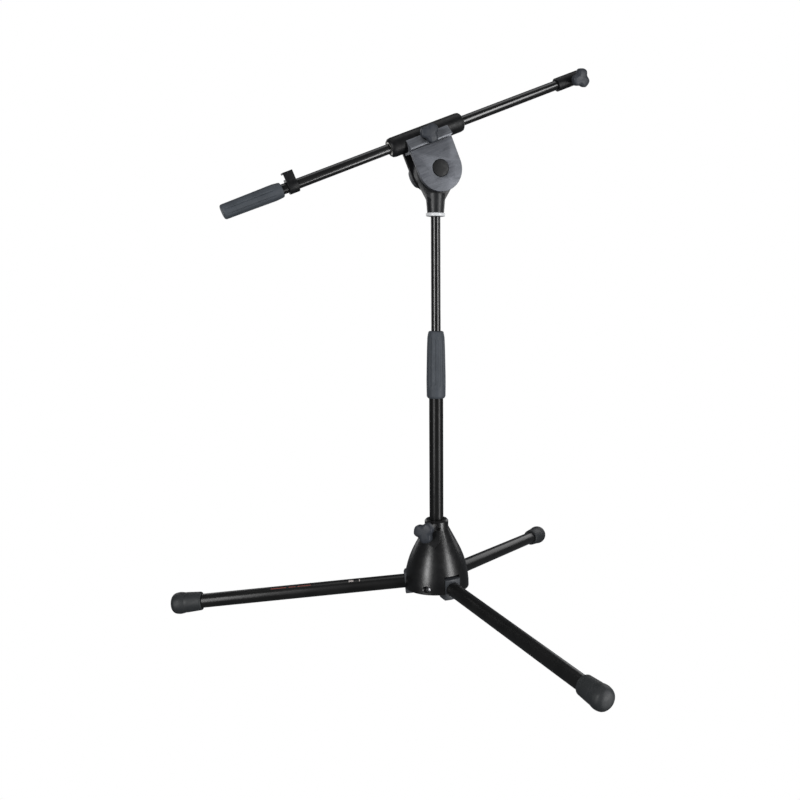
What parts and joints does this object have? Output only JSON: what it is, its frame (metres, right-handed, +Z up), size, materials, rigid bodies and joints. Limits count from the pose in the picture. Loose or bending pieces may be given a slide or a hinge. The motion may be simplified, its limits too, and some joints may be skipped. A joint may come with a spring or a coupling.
{
  "type": "boom microphone stand",
  "caption": "Compact tripod microphone stand with folding legs, telescopic column, tilting head and a sliding boom with a threaded tip.",
  "frame": {"origin": "on the column axis at floor level", "axes": "+Z up along the column; -X along the leg that points left; -Y towards the front, between that leg and the front right leg"},
  "size_m": [0.5425, 0.601, 0.7025],
  "materials": {
    "cast_black": "satin black powder coat",
    "tube_black": "gloss black powder coat",
    "cheek_grey": "brushed, dark grey",
    "socket_black": "satin",
    "plastic_black": "moulded",
    "plastic_slate": "moulded, slate grey",
    "plastic_natural": "natural",
    "washer_white": "white",
    "grip_rubber": "fluted",
    "foot_rubber": "matt",
    "steel": "zinc plated",
    "brass": "plain"
  },
  "bodies": {
    "hub": {"hub_bell": "cast_black", "hub_bush": "plastic_black", "hub_clamp_pad": "brass", "pivot_screw_left": "steel", "pivot_screw_right": "steel", "pivot_screw_back": "steel"},
    "hub_knob_set": {"hub_knob": "plastic_slate", "hub_knob_screw": "steel"},
    "leg_left": {"leg_block_left": "plastic_black", "leg_tube_left": "tube_black", "foot_cap_left": "foot_rubber"},
    "leg_right": {"leg_block_right": "plastic_black", "leg_tube_right": "tube_black", "foot_cap_right": "foot_rubber"},
    "leg_back": {"leg_block_back": "plastic_black", "leg_tube_back": "tube_black", "foot_cap_back": "foot_rubber"},
    "column": {"column_tube": "tube_black", "column_stop_ring": "plastic_black", "clutch_core": "plastic_natural"},
    "clutch": {"clutch_grip": "grip_rubber"},
    "collet": {"clutch_collet": "plastic_natural"},
    "rod": {"upper_rod": "tube_black", "rod_guide_plug": "plastic_natural", "rod_washer": "washer_white", "head_socket": "socket_black", "friction_disc_front": "plastic_black", "friction_disc_rear": "plastic_black"},
    "bracket": {"front_cheek_plate": "cheek_grey", "rear_cheek_plate": "cheek_grey", "boom_saddle": "cheek_grey", "boom_sleeve": "plastic_black", "pivot_bolt": "steel", "pivot_cap": "plastic_black"},
    "tilt_knob_set": {"tilt_knob": "plastic_slate", "tilt_knob_nut": "brass"},
    "boom_knob_set": {"boom_knob": "plastic_slate", "boom_knob_screw": "steel"},
    "boom_bush": {"boom_liner": "plastic_natural"},
    "boom": {"boom_tube": "tube_black", "boom_grip": "grip_rubber", "tip_sleeve": "plastic_black", "mic_thread_stud": "steel"},
    "cable_clip_body": {"cable_clip": "plastic_black"},
    "tip_knob_set": {"tip_knob": "plastic_slate", "tip_knob_screw": "steel"}
  },
  "joints": [
    {"name": "hub_knob_turn", "type": "hinge", "parent": "hub", "child": "hub_knob_set", "pos_m": [0, 0, 0.1141], "axis": [-0.4035, -0.915, 0], "range_deg": [0, 360]},
    {"name": "leg_left_fold", "type": "hinge", "parent": "hub", "child": "leg_left", "pos_m": [-0.028, 0, 0.04064], "axis": [0, -1, 0], "range_deg": [0, 85]},
    {"name": "leg_right_fold", "type": "hinge", "parent": "hub", "child": "leg_right", "pos_m": [0.014, -0.02425, 0.04064], "axis": [0.866, 0.5, 0], "range_deg": [0, 85]},
    {"name": "leg_back_fold", "type": "hinge", "parent": "hub", "child": "leg_back", "pos_m": [0.014, 0.02425, 0.04064], "axis": [-0.866, 0.5, 0], "range_deg": [0, 85]},
    {"name": "column_slide", "type": "slide", "parent": "hub", "child": "column", "axis": [0, 0, 1], "range_m": [-0.155, 0]},
    {"name": "clutch_turn", "type": "hinge", "parent": "column", "child": "clutch", "pos_m": [0, 0, 0.32], "axis": [0, 0, 1], "range_deg": [0, 120]},
    {"name": "rod_swivel", "type": "hinge", "parent": "column", "child": "collet", "pos_m": [0, 0, 0.345], "axis": [0, 0, 1], "continuous": true},
    {"name": "rod_slide", "type": "slide", "parent": "collet", "child": "rod", "axis": [0, 0, 1], "range_m": [-0.141, 0.079]},
    {"name": "boom_tilt", "type": "hinge", "parent": "rod", "child": "bracket", "pos_m": [0, 0, 0.5657], "axis": [0.342, -0.9397, 0], "range_deg": [-112.5, 67]},
    {"name": "tilt_knob_turn", "type": "hinge", "parent": "bracket", "child": "tilt_knob_set", "pos_m": [0, 0, 0.5657], "axis": [-0.342, 0.9397, 0], "range_deg": [0, 360]},
    {"name": "boom_knob_turn", "type": "hinge", "parent": "bracket", "child": "boom_knob_set", "pos_m": [-0.01447, -0.00527, 0.60511], "axis": [0.342, -0.9397, 0], "range_deg": [0, 360]},
    {"name": "boom_roll", "type": "hinge", "parent": "bracket", "child": "boom_bush", "pos_m": [-0.01534, -0.00558, 0.60472], "axis": [0.8669, 0.3155, 0.3859], "continuous": true},
    {"name": "boom_slide", "type": "slide", "parent": "boom_bush", "child": "boom", "axis": [0.8669, 0.3155, 0.3859], "range_m": [-0.14, 0.07]},
    {"name": "cable_clip_slide", "type": "slide", "parent": "boom", "child": "cable_clip_body", "axis": [0.8669, 0.3155, 0.3859], "range_m": [-0.006, 0.045]},
    {"name": "tip_knob_turn", "type": "hinge", "parent": "boom", "child": "tip_knob_set", "pos_m": [0.17928, 0.06525, 0.69136], "axis": [0.4049, -0.8972, -0.176], "range_deg": [0, 360]}
  ]
}
